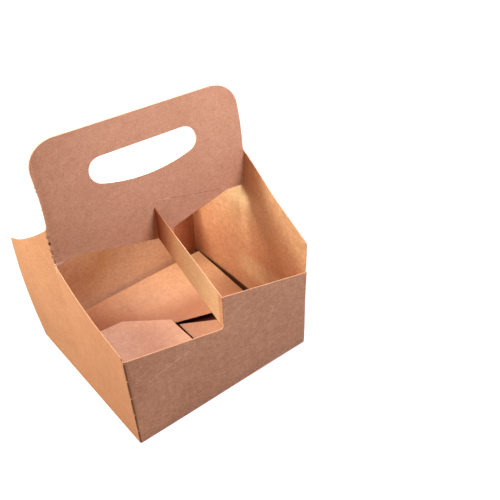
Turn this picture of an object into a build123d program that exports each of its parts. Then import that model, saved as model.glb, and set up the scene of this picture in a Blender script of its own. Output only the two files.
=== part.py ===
from build123d import *
import os
from math import hypot, radians, sqrt, tan

# A four-cup carrier folded from one sheet of kraft board.
# X runs along the handle, Y from front to back, Z up, and z = 0 is the table.
# The carrier looks the same when it is turned half a turn about Z,
# apart from its one glued seam and the order in which the bottom flaps lie.

# The board
board = 0.6
fold_radius = 1.2
sharpest_fold = 0.3
cut_margin = 5.0

# The box, measured outside at its foot
length = 165.1
depth = 158.75
wall_lean = 1.0

# Tops of the front wall: low from the left corner to the step, high beyond it
front_low_corner = 91.0
front_low_step = 70.6
front_high_step = 102.3
front_high_corner = 81.3
step_corner_radius = 3.0

# Tops of the side walls: high from the handle to one corner, low to the other
side_high_handle = 159.0
side_high_corner = 107.5
side_low_handle = 127.4
side_low_corner = 93.3

# The handle, two plies of board glued face to face
height = 224.0
handle_setback = 1.5
handle_taper = 1.5
handle_corner_radius = 22.0
neck_radius = 8.0
vee_bottom = 111.5
vee_shoulder_height = 129.0
vee_shoulder_inset = 16.8
vee_end_height = 125.4
vee_bottom_radius = 16.0
vee_shoulder_radius = 9.0

# The hand hole, flat on top and bowed below
hole_width = 89.5
hole_end_height = 22.0
hole_bow = 5.4
hole_below_top = 24.4

# The dividers, one in each half, and the flaps that glue them to the handle
divider_bottom_handle = 112.0
divider_top_handle = 140.5
glue_flap_rise = 5.5
glue_flap_shoulder = 6.0
glue_flap_end_height = 132.4
glue_flap_end_inset = 6.0
glue_flap_inset = 1.0

# The bottom in plan: two large flaps from the front and back walls that hook into
# each other in the middle, with one side flap under them and one on top
flap_side_gap = 1.6
flap_tip_reach = 12.8
flap_tip_height = 6.6
flap_notch_depth = 17.0
flap_short_tip_reach = 11.0
flap_short_tip_drop = 8.0
flap_knee_reach = 42.0
flap_low_knee = 9.6
flap_high_knee = 3.8
flap_low_end = 27.5
flap_high_end = 6.0
side_flap_tip = 8.6
side_flap_tip_top = 13.0
side_flap_tip_bottom = 30.0
side_flap_knee_reach = 26.0
side_flap_knee_inset = 38.9
side_flap_hinge_inset = 33.0
side_flap_low_knee_reach = 25.0
side_flap_low_knee_inset = 17.4
side_flap_low_hinge_inset = 9.4

# How the bottom stands up from the table before a cup presses it down: upper faces
# over the centre, and how steeply they rise along X and Y
front_flap_foot = 1.2
front_flap_slope = 0.04
back_flap_foot = 1.6
back_flap_height = 6.3
back_flap_slope_x = 0.07
back_flap_slope_y = 0.05
top_flap_foot = 1.8
top_flap_height = 8.2
top_flap_slope = 0.035
hinge_slope = 2.1

# The glued side seam, inside the left wall at the back corner
seam_width = 15.0
seam_bottom = 6.0
seam_top = 76.0
seam_slant = 5.0

# Cuts that weaken a crease. The corner folds are cut part of the way through, apart
# from short bridges. The handle's hinges and the steps have rows of short cuts.
fold_cut_reach = 0.62
bridge_length = 1.6
bridge_pitch = 18.65
first_bridge = 14.9
hinge_cut_length = 3.6
hinge_cut_width = 1.2
hinge_cut_pitch = 8.2
step_cut_length = 2.4
step_cut_width = 1.5
step_cut_depth = 0.4
step_cut_pitch = 5.6
corner_slit_length = 6.0
corner_slit_width = 0.8
corner_slit_inset = 1.6
cut_through = 2.4

lean_per_mm = tan(radians(wall_lean))


def half_length(z):
    """Outside face of a side wall at height z."""
    return length / 2 + lean_per_mm * z


def half_depth(z):
    """Outside face of the front or back wall at height z."""
    return depth / 2 + lean_per_mm * z


vee_shoulder_reach = half_length(vee_shoulder_height) - vee_shoulder_inset


def turned(shape):
    """The same shape on the other side of the carrier."""
    return Rot(0, 0, 180) * shape


def rounded(outline, corners, radius):
    """The outline with the corners at these points rounded."""
    found = [outline.vertices().sort_by_distance((*corner, 0))[0] for corner in corners]
    return fillet(found, radius)


def prism_x(points, x_low, x_high):
    """A prism along X over (y, z) points."""
    face = Plane.YZ.offset(x_low) * make_face(Polyline(*points, close=True))
    return extrude(face, x_high - x_low, dir=(1, 0, 0))


def prism_y(outline, y_low, y_high):
    """A prism along Y over an outline of x and z."""
    return extrude(Plane.XZ.offset(-y_low) * outline, y_high - y_low, dir=(0, 1, 0))


def sheet(points, plane):
    """Flat board over (x, y) points, its upper face on a plane: height at the centre, then slopes."""
    height_at_centre, slope_x, slope_y = plane
    upper = [(x, y, height_at_centre + slope_x * x + slope_y * y) for x, y in points]
    face = make_face(Polyline(*upper, close=True))
    return extrude(face, board * hypot(1, slope_x, slope_y), dir=(0, 0, -1))


def leaning_block(inset, top):
    """What lies inside the four leaning walls, drawn in by inset."""
    radius = max(fold_radius - inset, sharpest_fold)
    sections = [
        Pos(0, 0, z) * RectangleRounded(2 * (half_length(z) - inset), 2 * (half_depth(z) - inset), radius)
        for z in (0, top)
    ]
    return loft(sections)


def make_walls():
    """Four walls round the box, trimmed to their sloping tops."""
    walls = leaning_block(0, height) - leaning_block(board, height)
    far = length + depth
    top = height + cut_margin
    above_front = make_face(
        Polyline(
            (-far, front_low_corner),
            (-half_length(front_low_corner), front_low_corner),
            (0, front_low_step),
            (0, front_high_step),
            (half_length(front_high_corner), front_high_corner),
            (far, front_high_corner),
            (far, top),
            (-far, top),
            close=True,
        )
    )
    above_front = rounded(above_front, [(0, front_low_step)], step_corner_radius)
    front_cut = prism_y(above_front, -far, -(depth / 2 - board / 2))
    right_cut = prism_x(
        [
            (-far, side_high_corner),
            (-half_depth(side_high_corner), side_high_corner),
            (0, side_high_handle),
            (board, side_high_handle),
            (board, side_low_handle),
            (half_depth(side_low_corner), side_low_corner),
            (far, side_low_corner),
            (far, top),
            (-far, top),
        ],
        length / 2 - board / 2,
        far,
    )
    for cut in (front_cut, turned(front_cut), right_cut, turned(right_cut)):
        walls -= cut
    return walls


def hand_hole():
    """Outline of the hand hole: a straight top, round ends and a bowed lower edge."""
    end_radius = hole_end_height / 2
    half = hole_width / 2 - end_radius
    top = height - hole_below_top
    end_z = top - end_radius
    bottom = top - hole_end_height - hole_bow
    bow_radius = (half**2 + (end_z - bottom) ** 2 - end_radius**2) / (2 * hole_bow)
    bow_z = bottom + bow_radius
    reach = hypot(half, bow_z - end_z)
    join = (bow_radius * half / reach, bow_z - bow_radius * (bow_z - end_z) / reach)
    side = (half + end_radius, end_z)
    edges = [
        Line((-half, top), (half, top)),
        ThreePointArc((half, top), side, join),
        ThreePointArc(join, (0, bottom), (-join[0], join[1])),
        ThreePointArc((-join[0], join[1]), (-side[0], side[1]), (-half, top)),
    ]
    return make_face(edges)


def make_handle():
    """The two glued plies between the side walls, with a shallow V below."""
    half = half_length(side_high_handle) - handle_setback
    half_top = half - handle_taper
    wide = half + 2 * neck_radius
    neck_z = side_high_handle - neck_radius + sqrt(neck_radius**2 - (neck_radius - handle_setback) ** 2)
    corner_radius = min(handle_corner_radius, height - neck_z - neck_radius - board)
    right_side = [
        (vee_shoulder_reach, vee_shoulder_height),
        (wide, vee_end_height),
        (wide, neck_z),
        (half, neck_z),
        (half_top, height),
    ]
    left_side = [(-x, z) for x, z in reversed(right_side)]
    panel = make_face(Polyline((0, vee_bottom), *right_side, *left_side, close=True))
    panel = rounded(panel, [(half_top, height), (-half_top, height)], corner_radius)
    shoulders = [(vee_shoulder_reach, vee_shoulder_height), (-vee_shoulder_reach, vee_shoulder_height)]
    panel = rounded(panel, shoulders, vee_shoulder_radius)
    panel = rounded(panel, [(0, vee_bottom)], vee_bottom_radius)
    panel = rounded(panel, [(half, neck_z), (-half, neck_z)], neck_radius)
    panel -= hand_hole()
    plies = extrude(Plane.XZ.offset(-board) * panel, 2 * board, dir=(0, -1, 0))
    return plies & leaning_block(0, height)


def make_divider():
    """The front divider: folded back at the step, glued to the handle by its flap."""
    reach = half_depth(front_high_step) + cut_margin
    drop = (front_high_step - divider_top_handle) / (depth / 2)
    rise = (front_low_step - divider_bottom_handle) / (depth / 2)
    strip = prism_x(
        [
            (-board, divider_bottom_handle),
            (-board, divider_top_handle),
            (-reach, divider_top_handle + drop * reach),
            (-reach, divider_bottom_handle + rise * reach),
        ],
        0,
        board,
    )
    strip &= leaning_block(0, height)
    flap_reach = vee_shoulder_reach - glue_flap_end_inset
    vee_slope = (vee_shoulder_height - vee_bottom) / vee_shoulder_reach
    glued = make_face(
        Polyline(
            (0, vee_bottom + glue_flap_inset),
            (0, divider_top_handle),
            (glue_flap_shoulder, divider_top_handle + glue_flap_rise),
            (flap_reach, glue_flap_end_height),
            (flap_reach, vee_bottom + vee_slope * flap_reach + glue_flap_inset),
            close=True,
        )
    )
    glued = prism_y(glued, -2 * board, -board)
    return strip + glued


def front_and_back_flaps():
    """The two large flaps: the front one leans up, the back one stands up steeply and then lies flatter."""
    side = length / 2 - board - flap_side_gap
    hinge = depth / 2 - board / 2
    inner_edge = [
        (side, -flap_low_end),
        (flap_knee_reach, -flap_low_knee),
        (flap_tip_reach, flap_tip_height),
        (flap_tip_reach, -flap_notch_depth),
        (-flap_short_tip_reach, -flap_short_tip_drop),
        (-flap_knee_reach, flap_high_knee),
        (-side, flap_high_end),
    ]
    front = sheet(
        [(-side, -hinge), (side, -hinge), *inner_edge],
        (front_flap_foot + front_flap_slope * hinge, 0, front_flap_slope),
    )
    hinge_height = back_flap_foot + hinge_slope * hinge

    def crease(x):
        rise = hinge_height - back_flap_height - back_flap_slope_x * x
        return (x, rise / (hinge_slope + back_flap_slope_y))

    standing = sheet(
        [(side, hinge), (-side, hinge), crease(-side), crease(side)],
        (hinge_height, 0, -hinge_slope),
    )
    lying = sheet(
        [crease(side), crease(-side), *[(-x, -y) for x, y in inner_edge]],
        (back_flap_height, back_flap_slope_x, back_flap_slope_y),
    )
    return front + standing + lying


def side_flaps():
    """The right flap flat on the table, and the left flap on top of the large ones."""
    hinge = length / 2 - board / 2
    upper_end = depth / 2 - side_flap_hinge_inset
    lower_end = side_flap_low_hinge_inset - depth / 2
    inner_edge = [
        (-side_flap_knee_reach, depth / 2 - side_flap_knee_inset),
        (side_flap_tip, side_flap_tip_top),
        (side_flap_tip, -side_flap_tip_bottom),
        (-side_flap_low_knee_reach, side_flap_low_knee_inset - depth / 2),
    ]
    right = turned(sheet([(-hinge, upper_end), *inner_edge, (-hinge, lower_end)], (board, 0, 0)))
    hinge_height = top_flap_foot + hinge_slope * hinge
    crease = (top_flap_height - hinge_height) / (hinge_slope - top_flap_slope)
    standing = sheet(
        [(-hinge, upper_end), (crease, upper_end), (crease, lower_end), (-hinge, lower_end)],
        (hinge_height, hinge_slope, 0),
    )
    lying = sheet(
        [(crease, upper_end), *inner_edge, (crease, lower_end)],
        (top_flap_height, top_flap_slope, 0),
    )
    return right + standing + lying


def make_seam():
    """The flap of the one glued seam, against the inside of the left wall."""
    layer = leaning_block(board, height) - leaning_block(2 * board, height)
    back = half_depth(seam_top) + cut_margin
    front = depth / 2 - seam_width
    outline = prism_x(
        [
            (front, seam_bottom + seam_slant),
            (front, seam_top - seam_slant),
            (back, seam_top + seam_slant),
            (back, seam_bottom - seam_slant),
        ],
        -length,
        -(length / 2 - cut_margin),
    )
    return layer & outline


def crease_cuts():
    """Cuts along the corner folds, the handle's hinges and the steps, and a slit at the high corner."""
    cuts = []
    for side, top in ((-1, front_low_corner), (1, front_high_corner)):
        bridge = first_bridge
        while bridge - bridge_pitch < top:
            low = bridge - bridge_pitch + bridge_length / 2
            high = min(bridge, top) - bridge_length / 2
            middle = (low + high) / 2
            if high > low:
                cut = Box(2 * fold_cut_reach, 2 * fold_cut_reach, high - low)
                cuts.append(Pos(side * half_length(middle), -half_depth(middle), middle) * cut)
            bridge += bridge_pitch
    z = side_low_handle + hinge_cut_length
    while z < side_high_handle - hinge_cut_length:
        cut = Box(cut_through, hinge_cut_width, hinge_cut_length)
        cuts.append(Pos(-half_length(z), -hinge_cut_width / 2, z) * cut)
        z += hinge_cut_pitch
    z = front_low_step + step_cut_pitch
    while z < front_high_step - step_cut_length:
        cut = Box(step_cut_width, 2 * step_cut_depth, step_cut_length)
        cuts.append(Pos(0, -half_depth(z), z) * cut)
        z += step_cut_pitch
    slit_z = front_high_corner + corner_slit_length / 2
    slit = Box(cut_through, corner_slit_width, corner_slit_length)
    cuts.append(Pos(half_length(slit_z), corner_slit_inset - half_depth(slit_z), slit_z) * slit)
    return cuts + [turned(cut) for cut in cuts]


def make_carrier():
    """The whole carrier as one folded and glued sheet."""
    divider = make_divider()
    carrier = make_walls() + make_handle() + divider + turned(divider)
    carrier += front_and_back_flaps()
    carrier += side_flaps()
    carrier += make_seam()
    for cut in crease_cuts():
        carrier -= cut
    return carrier


carrier = make_carrier()
os.makedirs("parts", exist_ok=True)
export_step(carrier, "parts/carrier.step")
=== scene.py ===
from math import cos, pi, radians, sin

import bmesh
import bpy
from mathutils import Matrix, Vector
from mathutils.bvhtree import BVHTree


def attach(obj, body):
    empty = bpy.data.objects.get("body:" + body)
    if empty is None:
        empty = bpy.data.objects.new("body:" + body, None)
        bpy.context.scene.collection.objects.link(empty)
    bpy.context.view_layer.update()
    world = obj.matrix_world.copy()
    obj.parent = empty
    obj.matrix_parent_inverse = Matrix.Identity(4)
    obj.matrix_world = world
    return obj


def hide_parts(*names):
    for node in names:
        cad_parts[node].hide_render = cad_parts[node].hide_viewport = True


# A four-cup carrier folded from one sheet of kraft board, standing on a pale floor.
# X runs along the handle, Y from front to back, Z up. The scene is in metres. Places on
# the board are in millimetres from the middle of its foot.
MM = 0.001
BOARD = 0.6  # thickness of the board
SAME = 0.01  # two places closer than this are one

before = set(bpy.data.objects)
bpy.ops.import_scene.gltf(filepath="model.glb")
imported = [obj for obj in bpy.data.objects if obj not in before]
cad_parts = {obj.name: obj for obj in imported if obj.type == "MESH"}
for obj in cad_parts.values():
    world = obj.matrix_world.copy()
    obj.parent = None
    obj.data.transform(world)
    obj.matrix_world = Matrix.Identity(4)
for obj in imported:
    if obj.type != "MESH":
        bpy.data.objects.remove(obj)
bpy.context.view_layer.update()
board_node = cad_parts["carrier"]

# The camera
PICTURE = 500  # side of the square picture, in pixels
FOCAL_LENGTH = 675.09  # in pixels
SENSOR = 36  # in millimetres
CAMERA_PLACE = (-0.20043, -0.38778, 0.42858)
CAMERA_AZIMUTH, CAMERA_ELEVATION, CAMERA_ROLL = -36.88, 37.67, -2.14  # in degrees


def place_camera():
    """The camera at the photograph's viewing angle."""
    azimuth, elevation, roll = radians(CAMERA_AZIMUTH), radians(CAMERA_ELEVATION), radians(CAMERA_ROLL)
    back = Vector((sin(azimuth) * cos(elevation), -cos(azimuth) * cos(elevation), sin(elevation)))
    right = (-back).cross(Vector((0, 0, 1))).normalized()
    up = right.cross(-back)
    right, up = right * cos(roll) + up * sin(roll), up * cos(roll) - right * sin(roll)
    data = bpy.data.cameras.new("camera")
    data.sensor_width = SENSOR
    data.lens = FOCAL_LENGTH * SENSOR / PICTURE
    data.clip_start = 0.01
    camera = bpy.data.objects.new("camera", data)
    bpy.context.scene.collection.objects.link(camera)
    turn = Matrix((right, up, back)).transposed().to_4x4()
    camera.matrix_world = Matrix.Translation(CAMERA_PLACE) @ turn
    bpy.context.scene.camera = camera


place_camera()

# The folded board
SIDE = 82  # from the middle to the left and right walls' inner faces at their foot
NEAR_SIDE = 76  # where a bow of a side wall starts to take the board beside it along
DEPTH = 79  # from the middle to the front and back walls at their foot
TOP_DEPTH = 82  # a little beyond their tops, which lean outwards
HANDLE_TOP = 230  # a little over the handle
BEND_PITCH = 6  # spacing of the cuts that let the flat faces bend


def select_only(piece):
    """Selects this piece alone, and makes it the active one."""
    bpy.ops.object.select_all(action="DESELECT")
    piece.select_set(True)
    bpy.context.view_layer.objects.active = piece


def merged_copy(node, name):
    """A copy of the plain model's mesh, merged, with its flat faces joined up."""
    piece = bpy.data.objects.new(name, node.data.copy())
    piece.data.materials.clear()
    bpy.context.scene.collection.objects.link(piece)
    select_only(piece)
    bpy.ops.object.mode_set(mode="EDIT")
    bpy.ops.mesh.select_all(action="SELECT")
    bpy.ops.mesh.remove_doubles(threshold=SAME * MM)
    bpy.ops.mesh.dissolve_limited(angle_limit=radians(0.2))
    bpy.ops.object.mode_set(mode="OBJECT")
    bpy.ops.mesh.customdata_custom_splitnormals_clear()
    return piece


def round_arcs(piece):
    """Trims the facets of the handle's round corners and of the hand hole, so that they read as curves."""
    select_only(piece)
    bpy.ops.object.mode_set(mode="EDIT")
    work = bmesh.from_edit_mesh(piece.data)
    for face in work.faces:
        face.select = False
    for edge in work.edges:
        start, end = (vertex.co / MM for vertex in edge.verts)
        through_board = abs(start.x - end.x) < SAME and abs(start.z - end.z) < SAME
        on_handle = max(abs(start.y), abs(end.y)) < BOARD + 0.1 and start.z > 150
        slight_turn = radians(3) < edge.calc_face_angle(0) < radians(40)
        edge.select = through_board and on_handle and slight_turn
    bmesh.update_edit_mesh(piece.data)
    bpy.ops.mesh.bevel(offset_type="PERCENT", offset_pct=28, segments=2)
    bpy.ops.object.mode_set(mode="OBJECT")


def cut_along(piece, axis, places):
    """Cuts the board's faces with planes across one axis, so that it can bend there."""
    select_only(piece)
    bpy.ops.object.mode_set(mode="EDIT")
    for place in places:
        point, normal = [0.0, 0.0, 0.0], [0.0, 0.0, 0.0]
        point[axis], normal[axis] = place * MM, 1.0
        bpy.ops.mesh.select_all(action="SELECT")
        bpy.ops.mesh.bisect(plane_co=point, plane_no=normal)
    bpy.ops.object.mode_set(mode="OBJECT")


def spread(low, high, step):
    """Evenly spaced places from low to high."""
    count = round((high - low) / step)
    return [low + (high - low) * i / count for i in range(count + 1)]


def share(value, low, high):
    """How far a value has come from low to high, from 0 to 1."""
    return min(max((value - low) / (high - low), 0.0), 1.0)


def ramp(value, low, high):
    """0 at low, 1 at high, eased at both ends."""
    t = share(value, low, high)
    return t * t * (3 - 2 * t)


def fall(value, low, high):
    """1 at low, 0 at high, eased at both ends."""
    return ramp(high - value, 0, high - low)


def hump(value, low, high):
    """0 at low and high, 1 half way between them."""
    return sin(pi * share(value, low, high))


# What each face is marked with, for the material
FACE_MARKS = ("cut_edge", "dark", "pale", "inside", "back_flap")

# How the bottom's flaps slope: X and Y of the upper face's normal, and how far off each may be
FRONT_FLAP = ((0.0, -0.04), (0.01, 0.006))
LEFT_FLAP = ((-0.035, 0.0), (0.006, 0.006))
BACK_FLAP = ((-0.07, -0.05), (0.01, 0.01))
SQUARE_ON = 0.9  # a face whose normal reaches this far along an axis faces that way


def slopes_as(normal, flap):
    """Whether a face slopes as the upper side of this flap does."""
    (normal_x, normal_y), (off_x, off_y) = flap
    return normal.z > SQUARE_ON and abs(normal.x - normal_x) < off_x and abs(normal.y - normal_y) < off_y


def is_cut_edge(face, tree):
    """Whether a face is the sheet's own edge, with board behind it for far more than its thickness."""
    inwards = -Vector(face.normal)
    behind = tree.ray_cast(Vector(face.center) + inwards * 0.005 * MM, inwards)[3]
    return behind is None or behind > 4.5 * BOARD * MM


def marks_of(face, cut):
    """How strong each mark is on a face, from 0 to 1."""
    x, y, z = face.center / MM
    normal = face.normal
    third_ply = -2 * BOARD - 0.1 < y < -BOARD
    glue_flap_rim = third_ply and abs(x) < 70 and z > 110 and abs(normal.y) < 0.5
    left_flap = slopes_as(normal, LEFT_FLAP)
    back_flap = slopes_as(normal, BACK_FLAP)
    right_inside = normal.x < -SQUARE_ON and x > 75 and not cut
    back_inside = normal.y < -SQUARE_ON and y > 70

    dark = 0.0
    # painted shade: the side flap under the others is painted dark where it shows through the gaps, the glue
    # flap's rim and the front and left flaps less so
    if normal.z > SQUARE_ON and z < 1.0:
        dark = 1.0  # the side flap under the others, seen through the gaps between them
    elif glue_flap_rim:
        dark = 0.75 if x > 14 else 0.3  # deeper in the shade at the right
    elif slopes_as(normal, FRONT_FLAP) and z < 7:
        dark = 0.36
    elif left_flap:
        dark = 0.14

    # painted light: the left flap paler towards its left, the back flap more so towards its right, the back
    # wall's inside but for its right end
    pale = 0.0
    if left_flap:
        pale = 0.3 + 0.35 * ramp(-x, 10, 45)
    elif back_flap:
        pale = 0.22 * ramp(x, -50, 0)
    elif back_inside and x < 60:
        pale = 1.0

    return {
        "cut_edge": float(cut and not glue_flap_rim),
        "dark": dark,
        "pale": pale,
        "inside": float(right_inside or back_inside),
        "back_flap": float(back_flap),
    }


def mark_faces(piece):
    """Marks the cut edges, the faces with painted shade, those with painted light, the walls' insides and
    the back flap.
    """
    work = bmesh.new()
    work.from_mesh(piece.data)
    tree = BVHTree.FromBMesh(work)
    for name in FACE_MARKS:
        piece.data.attributes.new(name, "FLOAT", "FACE")
    columns = {name: piece.data.attributes[name].data for name in FACE_MARKS}
    for face in piece.data.polygons:
        for name, strength in marks_of(face, is_cut_edge(face, tree)).items():
            columns[name][face.index].value = strength
    work.free()


def push(piece, direction, by, where):
    """Pushes the board along one axis, by as many mm as by says, times where(x, y, z)."""
    group = piece.vertex_groups.new(name="push")
    for vertex in piece.data.vertices:
        amount = where(*(vertex.co / MM))
        if amount > 0:
            group.add([vertex.index], amount, "REPLACE")
    select_only(piece)
    bend = piece.modifiers.new("push", "DISPLACE")
    bend.direction = direction
    bend.mid_level = 0
    bend.strength = by * MM
    bend.vertex_group = group.name
    bpy.ops.object.modifier_apply(modifier=bend.name)
    piece.vertex_groups.remove(piece.vertex_groups["push"])


def raise_nubs(piece):
    """The small nubs along the handle's left rim, where the flat sheet was held in its blank."""
    heights = (213.0, 193.3, 190.0, 175.6)
    half = 0.7  # half a nub's height
    cut_along(piece, 2, [height + offset for height in heights for offset in (-half, 0.0, half)])

    def on_a_nub(x, y, z):
        return float(x < -74 and abs(y) < 2 and any(abs(z - height) < 0.1 for height in heights))

    push(piece, "X", by=-0.8, where=on_a_nub)


def bow_left_wall(piece):
    """The left wall bows out on both sides of the handle, and its back ear sags and curls up at the tip."""

    def wall(x):
        return ramp(-x, NEAR_SIDE, SIDE)

    push(piece, "X", by=-1.7, where=lambda x, y, z: wall(x) * hump(y, -DEPTH, 0) * ramp(z, 15, 105))
    push(piece, "X", by=-4.0, where=lambda x, y, z: wall(x) * hump(y, 0, 120) * hump(z, 0, 150))
    push(piece, "Z", by=-2.5, where=lambda x, y, z: wall(x) * hump(y, 0, TOP_DEPTH) * ramp(z, 60, 130))
    push(piece, "Z", by=2.0, where=lambda x, y, z: wall(x) * ramp(y, 60, 80) * ramp(z, 80, 120))


def bow_right_neck(piece):
    """The right wall stands out beside the handle, and takes the handle's end with it."""

    def neck(x, y, z):
        along = 50 if abs(y) <= 1.5 else NEAR_SIDE
        return ramp(x, along, SIDE) * hump(y, -40, 40) * ramp(z, 100, 160)

    push(piece, "X", by=3.0, where=neck)


def lift_front_right_foot(piece):
    """The front right corner stands a little off the table, and a little to the right."""

    def foot(x, y, z):
        return ramp(x, -80, SIDE) * ramp(-y, 10, DEPTH) * fall(z, 0, 70)

    push(piece, "X", by=1.6, where=foot)
    push(piece, "Z", by=1.8, where=foot)


def lean_handle(piece):
    """The handle leans back and to the left, and its right end hangs lower."""

    def right_end(x, y, z):
        return ramp(z, 110, HANDLE_TOP) * share(x, -84, 84) * fall(abs(y), 0, 60)

    push(piece, "Y", by=1.6, where=lambda x, y, z: fall(abs(y), 2, 3) * ramp(z, 140, HANDLE_TOP))
    push(piece, "X", by=-4.0, where=lambda x, y, z: ramp(z, 172, HANDLE_TOP))
    push(piece, "Z", by=-3.0, where=right_end)


def rack_box(piece):
    """The box is racked, to the right at its front and to the left at its back. In between, the foot of
    the right wall bows out beside the raised bottom."""
    rack = 2.86

    def right_foot(x, y, z):
        return ramp(x, 81, SIDE) * hump(y, -DEPTH, DEPTH) * fall(z, 10, 70)

    push(piece, "X", by=rack, where=lambda x, y, z: share(-y, 0, TOP_DEPTH))
    push(piece, "X", by=2.2, where=right_foot)
    push(piece, "X", by=-rack, where=lambda x, y, z: share(y, 0, TOP_DEPTH) * share(-x, -SIDE, SIDE))


def fold_board():
    """The carrier's one piece: the plain model's sheet, with the slack of a hand-folded one."""
    board = merged_copy(board_node, "kraft_board_sheet")
    round_arcs(board)
    cut_along(board, 0, spread(-84, 84, BEND_PITCH))
    cut_along(board, 1, spread(-78, 78, BEND_PITCH))
    cut_along(board, 2, spread(6, 222, BEND_PITCH))
    mark_faces(board)
    raise_nubs(board)
    bow_left_wall(board)
    bow_right_neck(board)
    lift_front_right_foot(board)
    lean_handle(board)
    rack_box(board)
    select_only(board)
    bpy.ops.object.shade_smooth_by_angle(angle=radians(25))
    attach(board, "root")
    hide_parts("carrier")
    return board


board = fold_board()


# Shader maths
class Value:
    """A shader socket that Python's operators work on. A number or a tuple stands for itself."""

    def __init__(self, tree, socket):
        self.tree = tree
        self.socket = socket

    def node(self, kind, settings=None, out=0, **inputs):
        """Adds a node and returns its output number out. Settings are the node's own properties.
        Inputs are its sockets, by name with _ for a space, or as i0, i1 and so on by number."""
        made = self.tree.nodes.new(kind)
        for name, setting in (settings or {}).items():
            setattr(made, name, setting)
        for name, given in inputs.items():
            key = int(name[1:]) if name[1:].isdigit() else name.replace("_", " ")
            self.feed(made.inputs[key], given)
        return Value(self.tree, made.outputs[out])

    def feed(self, socket, given):
        """Gives a node's socket a link to a Value, or else a plain value."""
        if isinstance(given, Value):
            self.tree.links.new(given.socket, socket)
        else:
            socket.default_value = given

    def maths(self, operation, first, second=0.0, clamp=False):
        """The result of one Math node."""
        return self.node("ShaderNodeMath", {"operation": operation, "use_clamp": clamp}, i0=first, i1=second)

    def __add__(self, other):
        return self.maths("ADD", self, other)

    def __radd__(self, other):
        return self.maths("ADD", other, self)

    def __sub__(self, other):
        return self.maths("SUBTRACT", self, other)

    def __rsub__(self, other):
        return self.maths("SUBTRACT", other, self)

    def __mul__(self, other):
        return self.maths("MULTIPLY", self, other)

    def __rmul__(self, other):
        return self.maths("MULTIPLY", other, self)

    def __abs__(self):
        return self.maths("ABSOLUTE", self)

    def fraction(self):
        """What is left after the last whole number."""
        return self.maths("FRACT", self)

    def clamped(self):
        """Kept from 0 to 1."""
        return self.maths("ADD", self, 0.0, clamp=True)

    def step(self, low, high):
        """0 below low, 1 above high, eased between."""
        return self.node(
            "ShaderNodeMapRange",
            {"interpolation_type": "SMOOTHSTEP"},
            Value=self,
            From_Min=low,
            From_Max=high,
        )

    def fade(self, low, high):
        """1 below low, 0 above high, eased between."""
        return 1 - self.step(low, high)

    def mixed(self, low, high):
        """The colour low where this is 0 and high where it is 1."""
        return self.node("ShaderNodeMix", {"data_type": "RGBA"}, out=2, i0=self, i6=low, i7=high)

    def noise(
        self, scale, detail, roughness, stretch=(1, 1, 1), turn=(0, 0, 0), shift=(0, 0, 0), distortion=0.0
    ):
        """Noise with scale features to the metre at this vector, stretched and turned first."""
        turned = tuple(radians(angle) for angle in turn)
        placed = self.node("ShaderNodeMapping", Vector=self, Scale=stretch, Rotation=turned, Location=shift)
        return placed.node(
            "ShaderNodeTexNoise",
            Vector=placed,
            Scale=scale,
            Detail=detail,
            Roughness=roughness,
            Distortion=distortion,
        )


def new_material(name):
    """An empty material: its output node, and a Value to start expressions from."""
    material = bpy.data.materials.new(name)
    material.use_nodes = True
    tree = material.node_tree
    tree.nodes.clear()
    output = tree.nodes.new("ShaderNodeOutputMaterial")
    return material, output, Value(tree, None)


def light_left(*layers):
    """The light that is left when each layer has taken its share, from 0 to 1."""
    left = 1
    for taken in layers:
        left = left * (1 - taken)
    return left


# The kraft board's colour, and the paler and warmer colours of painted light on it, each from the pulp's
# darkest tone to its lightest
FACE_LOW, FACE_HIGH = (0.36, 0.115, 0.040, 1), (0.80, 0.41, 0.24, 1)
PAINTED_LIGHT_LOW, PAINTED_LIGHT_HIGH = (0.52, 0.215, 0.120, 1), (1.0, 0.66, 0.470, 1)
PAINTED_WARM_LIGHT_LOW, PAINTED_WARM_LIGHT_HIGH = (0.56, 0.255, 0.120, 1), (1.0, 0.77, 0.470, 1)

# Its cut edges on the walls and on the handle, and in the hand hole a cut edge with a painted highlight
WALL_RIM, HANDLE_RIM, HOLE_RIM_HIGHLIGHT = (0.55, 0.27, 0.145, 1), (0.68, 0.41, 0.29, 1), (0.95, 0.68, 0.52, 1)

# What wear, painted soft shade, and the dark of the cuts and of painted shade turn it to
SCRATCHED = (0.85, 0.56, 0.40, 1)
SHADED = (0.19, 0.022, 0.001, 1)
DARKEST = (0.060, 0.008, 0.001, 1)

DIVIDER_SKEW = 0.035  # how far the racked divider swings to the right on its way to the front


class Place:
    """A point of the board: where it is, in mm, and which parts it lies on, each from 0 to 1."""

    def __init__(self, start):
        self.here = start.node("ShaderNodeTexCoord", out=3)
        self.x, self.y, self.z = (
            start.node("ShaderNodeSeparateXYZ", out=i, Vector=self.here) * (1 / MM) for i in range(3)
        )
        self.forward = 0 - self.y  # how far in front of the handle
        self.cut_edge, self.dark, self.pale, self.inside, self.back_flap = (
            start.node("ShaderNodeAttribute", {"attribute_name": name}, out=2) for name in FACE_MARKS
        )
        # the walls and the divider as they stand after the bends
        self.front_wall = self.y.fade(-79, -78)
        self.left_wall = self.x.fade(-79, -78)
        self.right_wall = self.inside * self.x.step(80, 82)
        self.handle = self.z.step(128, 136) * abs(self.y).fade(3.5, 4)
        from_divider = abs(self.x - self.forward * DIVIDER_SKEW)
        self.divider = from_divider.fade(0.6, 1.2) * self.forward.step(0.65, 0.8) * self.forward.fade(75, 77)


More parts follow.
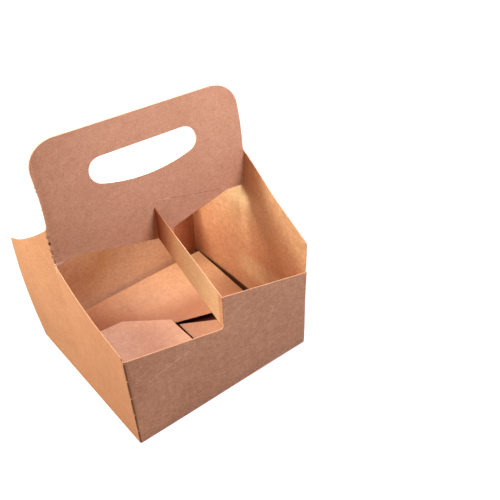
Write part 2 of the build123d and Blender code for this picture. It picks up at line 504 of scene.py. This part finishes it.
class Pulp:
    """The board's texture: its tone from 0 to 1, the height of its fibres, and its blotches and grain."""

    def __init__(self, place):
        here = place.here
        cloud = here.noise(22, 3, 0.55)
        self.blotch = here.noise(160, 3, 0.6)
        self.grain = here.noise(1100, 3, 0.75)
        fibre_x = here.noise(800, 2, 0.6, stretch=(0.45, 1, 1), turn=(0, 20, 12), distortion=1.2)
        fibre_z = here.noise(
            800, 2, 0.6, stretch=(1, 0.8, 0.45), turn=(25, 0, 0), shift=(3, 1, 2), distortion=1.2
        )
        mottle = here.noise(330, 2, 0.6, shift=(2, 8, 4))
        # thin hairs curl along the middle level of one noise, where a second one is high
        curl = here.noise(260, 1, 0.4, shift=(5, 2, 9))
        hair = abs(curl - 0.5).fade(0.002, 0.018) * here.noise(330, 1, 0.5, shift=(1, 7, 3)).step(0.52, 0.58)
        tone = (
            (cloud - 0.5) * 0.5
            + (self.blotch - 0.5) * 0.5
            + (mottle - 0.5) * (place.inside * 0.6 + place.front_wall * 0.7 + 0.3)
            + (self.grain - 0.5) * 1.6
            + (fibre_x - 0.5) * 0.5
            + (fibre_z - 0.5) * 0.5
            + hair * (place.front_wall * 0.16 + 0.22)
        )
        self.tone = (tone * 0.6 + 0.5).clamped()
        self.height = self.grain * 0.5 + fibre_x * 0.6 + fibre_z * 0.6 + hair * 0.4


def bare_board(place, pulp):
    """The board's brown colour with its cut edges, and painted light that makes it paler and more golden
    inside the box.
    """
    x, y, z, forward, tone = place.x, place.y, place.z, place.forward, pulp.tone
    warm_painted_light = (place.inside + place.back_flap + place.divider).clamped()
    pale_face = tone.mixed(warm_painted_light.mixed(PAINTED_LIGHT_LOW, PAINTED_WARM_LIGHT_LOW), warm_painted_light.mixed(PAINTED_LIGHT_HIGH, PAINTED_WARM_LIGHT_HIGH))
    # painted light: the right wall is palest beside the handle and low at the front, the divider at its
    # front
    lit_top = z.step(96, 112) * z.fade(122, 130) * y.fade(8, 30) * forward.fade(2, 14)
    lit_foot = z.step(22, 38) * z.fade(48, 60) * y.fade(-10, 20)
    pale = place.pale + place.right_wall * (z.step(60, 120) * 0.35 + lit_top * 0.45 + lit_foot * 0.5)
    pale = (pale + place.divider * forward.step(12, 48) * 0.5).clamped()
    # the hand hole's lower rim: a paler cut edge with a painted highlight
    hole_rim_highlight = z.fade(183, 186) * z.step(160, 163) * abs(x).fade(50, 52)
    rim = hole_rim_highlight.mixed(z.step(150, 165).mixed(WALL_RIM, HANDLE_RIM), HOLE_RIM_HIGHLIGHT)
    return place.cut_edge.mixed(pale.mixed(tone.mixed(FACE_LOW, FACE_HIGH), pale_face), rim)


def scratch(place, pulp, start, slope, wander, width):
    """A thin line on the front wall that rises to the right from start and wanders with the blotches."""
    start_x, start_z = start
    off = place.z - (place.x - start_x) * slope - start_z + (pulp.blotch - 0.5) * wander
    return abs(off).fade(*width)


def worn_marks(place, pulp):
    """Two broken scratches on the front wall, and the scuffed left foot of the handle."""
    x, y, z = place.x, place.y, place.z
    long_one = scratch(place, pulp, start=(-63.9, 60.2), slope=0.222, wander=3, width=(0.25, 0.55))
    long_one = long_one * x.step(-66, -64) * x.fade(-24, -20) * pulp.grain.step(0.44, 0.52)
    short_one = scratch(place, pulp, start=(-74.9, 65.2), slope=0.65, wander=2, width=(0.15, 0.5))
    short_one = short_one * x.step(-75.5, -74) * x.fade(-68, -65) * pulp.grain.step(0.42, 0.52)
    scuff = place.left_wall * z.fade(129.2, 129.8) * z.step(120, 121) * abs(y + 0.4).fade(1.0, 1.4)
    return ((long_one + short_one) * place.front_wall * 0.7 + scuff * 0.5).clamped()


def painted_soft_shade(place):
    """Painted shade: the light that is left in the box's corners and at the left ends of its walls and
    handle.
    """
    x, y, z, forward = place.x, place.y, place.z, place.forward
    # painted shade on the divider's left face, darkest near the handle
    near_handle = forward.fade(1.5, 6.5) * 0.12 + forward.fade(2, 30) * 0.86
    on_divider = place.divider * z.step(80, 100) * near_handle
    # painted shade on the left wall's outside, darkest at its front and at its foot
    left_wall = place.left_wall * (0.20 - y.step(-80, 40) * 0.14 + z.fade(35, 90) * 0.07)
    # painted shade at the left ends of the handle and of the front wall
    left_end = x.fade(-80, -25) * x.step(-83, -82) * (place.handle + z.step(15, 60) * place.front_wall)
    # painted shade on the back flap, up to a slanting line that runs more steeply at the left
    under_flaps = place.back_flap * (y + x * 0.6 - (x + abs(x)) * 0.18).fade(20, 60)
    # a slanting band of painted shade across the right wall, in front of the handle
    band = place.right_wall * (z - y * 1.87).step(68, 118) * (z - y * 1.2).fade(150, 185)
    band = band * forward.step(2, 14)
    # painted shade on the strip of the right wall in front of the handle's neck
    at_neck = place.right_wall * z.step(112, 126) * y.fade(0, 4)
    at_neck = at_neck * (forward.fade(2, 16) * 0.27 + forward.fade(10, 34) * 0.45)
    # painted shade in the box's back right corner, lighter higher up
    back_corner = place.inside * x.step(58, 80) * y.step(60, 76) * (1 - z.step(60, 115) * 0.6)
    return light_left(
        on_divider, left_wall, left_end * 0.16, under_flaps * 0.6, band * 0.43, at_neck, back_corner * 0.5
    )


def between_bridges(height, first, pitch, half):
    """1 along a row of cuts, 0 at the short bridges of board in it: one at first, and one each pitch on."""
    turn = (height - first) * (1 / pitch) + 0.5
    from_bridge = abs(turn.fraction() - 0.5) * pitch
    return from_bridge.step(half, half + 0.5)


def dark_lines(place):
    """The light that is left in the part-cut folds, and painted shade at the right wall's foot and on the
    faces marked with it.
    """
    x, y, z = place.x, place.y, place.z
    # the fold of the front left corner, which leans outwards as it rises
    off_x = x + 79.42 + z * 0.0170
    off_y = y + 79.05 + z * 0.0174
    fold = (off_x * off_x + off_y * off_y).fade(0.2, 0.9) * between_bridges(z, 14.9, 18.65, 0.7)
    # the handle's left hinge
    hinge = x.fade(-82.5, -82.0) * abs(y - 0.6).fade(0.7, 1.3) * z.step(131.5, 132) * z.fade(156, 156.5)
    hinge = hinge * between_bridges(z, 138.4, 5.85, 1.5)
    # the step at the middle of the front wall
    step_cuts = y.fade(-80.2, -79.8) * abs(x - 2.6).fade(0.5, 0.9) * z.step(74, 75) * z.fade(100.5, 101.5)
    step_cuts = step_cuts * between_bridges(z, 74.6, 2.8, 0.35)
    # painted shade along the right wall's foot, beside the raised bottom
    foot = place.right_wall * z.fade(12.6, 15.0)
    return light_left(place.dark, fold * 0.6, hinge * 0.7, step_cuts * 0.4, foot * 0.93)


def kraft_board_material():
    """Uncoated kraft board: pulp fibres, soft blotches, cut edges, dark fold cuts and a few scratches, with
    painted light and painted shade.
    """
    material, output, start = new_material("kraft_board")
    place = Place(start)
    pulp = Pulp(place)
    colour = worn_marks(place, pulp).mixed(bare_board(place, pulp), SCRATCHED)
    colour = painted_soft_shade(place).mixed(SHADED, colour)
    colour = dark_lines(place).mixed(DARKEST, colour)
    bump = start.node("ShaderNodeBump", Strength=0.35, Distance=0.05 * MM, Height=pulp.height)
    shader = start.node(
        "ShaderNodeBsdfPrincipled",
        Base_Color=colour,
        Roughness=0.72 + (pulp.grain - 0.5) * 0.2,
        Normal=bump,
        IOR=1.32,
    )
    start.feed(output.inputs["Surface"], shader)
    return material


board.data.materials.append(kraft_board_material())

# The floor, the lamps and the world
WHITE = (1, 1, 1, 1)
FLOOR_SIZE = 8
BOX_MIDDLE = (0, 0, 0.08)
HANDLE_FOOT = (0, 0, 0.12)


def lay_floor():
    """A pale floor that the camera sees as white, with the carrier's shadow on it."""
    bpy.ops.object.select_all(action="DESELECT")
    bpy.ops.mesh.primitive_plane_add(size=FLOOR_SIZE, location=(0, 0, -0.0002))
    floor = bpy.context.object
    floor.name = "floor"
    material, output, start = new_material("pale_floor")
    lit = start.node("ShaderNodeBsdfDiffuse", Color=(0.82, 0.82, 0.82, 1))
    white = start.node("ShaderNodeEmission", Color=WHITE, Strength=1.15)
    here = start.node("ShaderNodeTexCoord", out=3)
    far = start.node("ShaderNodeVectorMath", {"operation": "LENGTH"}, out=1, i0=here)
    # the shadow shows near the carrier, and farther off the floor is all white
    shown = start.node("ShaderNodeMixShader", i0=far.step(0.25, 0.6) * 0.28 + 0.72, i1=lit, i2=white)
    # to all but the camera the floor is a quiet grey, which throws little light back at the board
    quiet = start.node("ShaderNodeBsdfDiffuse", Color=(0.34, 0.32, 0.31, 1))
    seen = start.node("ShaderNodeLightPath", out=0)
    start.feed(output.inputs["Surface"], start.node("ShaderNodeMixShader", i0=seen, i1=quiet, i2=shown))
    floor.data.materials.append(material)


def add_lamp(name, place, aim, size, power, colour):
    """A round lamp at a place, turned to what it is aimed at."""
    data = bpy.data.lights.new(name, "AREA")
    data.shape = "DISK"
    data.size = size
    data.energy = power
    data.color = colour
    lamp = bpy.data.objects.new(name, data)
    bpy.context.scene.collection.objects.link(lamp)
    lamp.location = place
    lamp.rotation_euler = (Vector(aim) - Vector(place)).to_track_quat("-Z", "Y").to_euler()


def set_world():
    """A faint soft light all round, which the camera sees as white."""
    world = bpy.data.worlds.new("studio")
    bpy.context.scene.world = world
    world.use_nodes = True
    tree = world.node_tree
    tree.nodes.clear()
    start = Value(tree, None)
    output = tree.nodes.new("ShaderNodeOutputWorld")
    soft = start.node("ShaderNodeBackground", Color=(1, 0.97, 0.97, 1), Strength=0.04)
    white = start.node("ShaderNodeBackground", Color=WHITE, Strength=1.0)
    seen = start.node("ShaderNodeLightPath", out=0)
    start.feed(output.inputs["Surface"], start.node("ShaderNodeMixShader", i0=seen, i1=soft, i2=white))


lay_floor()
add_lamp("key", (-0.73, 0.49, 0.89), BOX_MIDDLE, size=0.3, power=11.0, colour=(1, 1.05, 0.91))
add_lamp("side", (-0.84, 0, 0.92), BOX_MIDDLE, size=0.5, power=13.2, colour=(1, 0.98, 0.79))
add_lamp("overhead", (0, 0, 1.28), BOX_MIDDLE, size=0.5, power=6.9, colour=(1, 1.0, 0.80))
add_lamp("fill", (0.22, -0.25, 0.53), HANDLE_FOOT, size=0.3, power=3.5, colour=(0.96, 1.05, 1.36))
set_world()
bpy.context.scene.view_settings.view_transform = "Standard"
